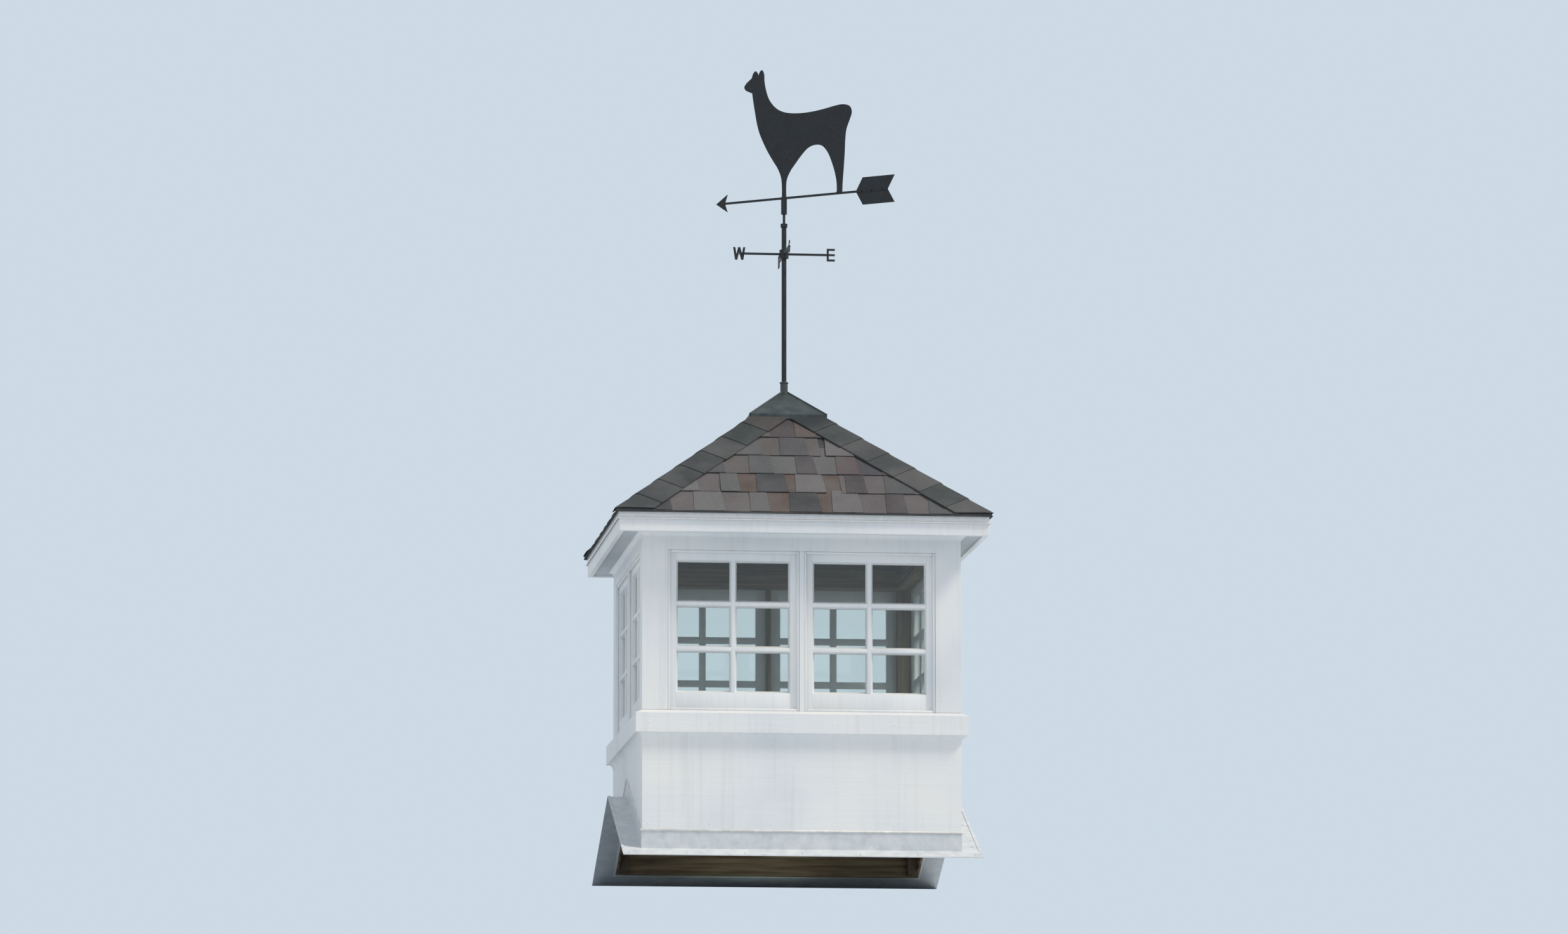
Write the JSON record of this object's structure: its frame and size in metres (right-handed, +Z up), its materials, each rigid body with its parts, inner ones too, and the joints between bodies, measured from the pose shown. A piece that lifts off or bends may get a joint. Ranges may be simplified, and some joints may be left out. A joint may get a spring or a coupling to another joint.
{
  "type": "barn cupola with weathervane",
  "caption": "Square white-painted cupola for a barn roof ridge, with a saddle-cut base, paired sash windows, a shingled hip roof and a turning weathervane.",
  "frame": {"origin": "centre of the square body at the level of the lowest flashing edge, under the peak", "axes": "+Z up along the mast; +X along the barn's ridge, to the right seen from the front; the front is -Y"},
  "size_m": [1.441, 1.441, 3.1602],
  "materials": {
    "white_paint": "white exterior paint on timber boards, satin",
    "sash_paint": "white exterior paint on timber sashes, satin",
    "soffit_paint": "white exterior paint on soffit boards, flat",
    "bare_timber": "sawn softwood, bare",
    "deck_timber": "sheathing boards, bare",
    "flashing_sheet": "folded sheet, weathered",
    "window_glass": "clear glass",
    "asphalt_shingle": "mineral-granule asphalt shingles",
    "dark_metal": "dark sheet metal, matt",
    "vane_metal": "black-painted steel, weathered"
  },
  "bodies": {
    "cupola": {"base_panel_front": "white_paint", "base_panel_right": "white_paint", "base_panel_back": "white_paint", "base_panel_left": "white_paint", "base_cleats": "bare_timber", "flashing_front": "flashing_sheet", "flashing_right": "flashing_sheet", "flashing_back": "flashing_sheet", "flashing_left": "flashing_sheet", "sill_front": "white_paint", "sill_right": "white_paint", "sill_back": "white_paint", "sill_left": "white_paint", "corner_post_front_left": "white_paint", "corner_post_front_right": "white_paint", "corner_post_back_right": "white_paint", "corner_post_back_left": "white_paint", "mullions": "white_paint", "sashes_front": "sash_paint", "sashes_right": "sash_paint", "sashes_back": "sash_paint", "sashes_left": "sash_paint", "glass_front": "window_glass", "glass_right": "window_glass", "glass_back": "window_glass", "glass_left": "window_glass", "headers": "white_paint", "bed_mouldings": "white_paint", "soffit_boards": "soffit_paint", "fascia_front": "white_paint", "fascia_right": "white_paint", "fascia_back": "white_paint", "fascia_left": "white_paint", "hip_rafters": "bare_timber", "king_post": "bare_timber", "roof_deck": "deck_timber", "shingles_front": "asphalt_shingle", "shingles_right": "asphalt_shingle", "shingles_back": "asphalt_shingle", "shingles_left": "asphalt_shingle", "peak_cap": "dark_metal", "mast": "vane_metal", "direction_arms": "vane_metal"},
    "vane": {"vane_arrow": "vane_metal", "vane_figure": "vane_metal"}
  },
  "joints": [
    {"name": "vane_spin", "type": "hinge", "parent": "cupola", "child": "vane", "pos_m": [0, 0, 2.6], "axis": [0, 0, 1], "continuous": true}
  ]
}
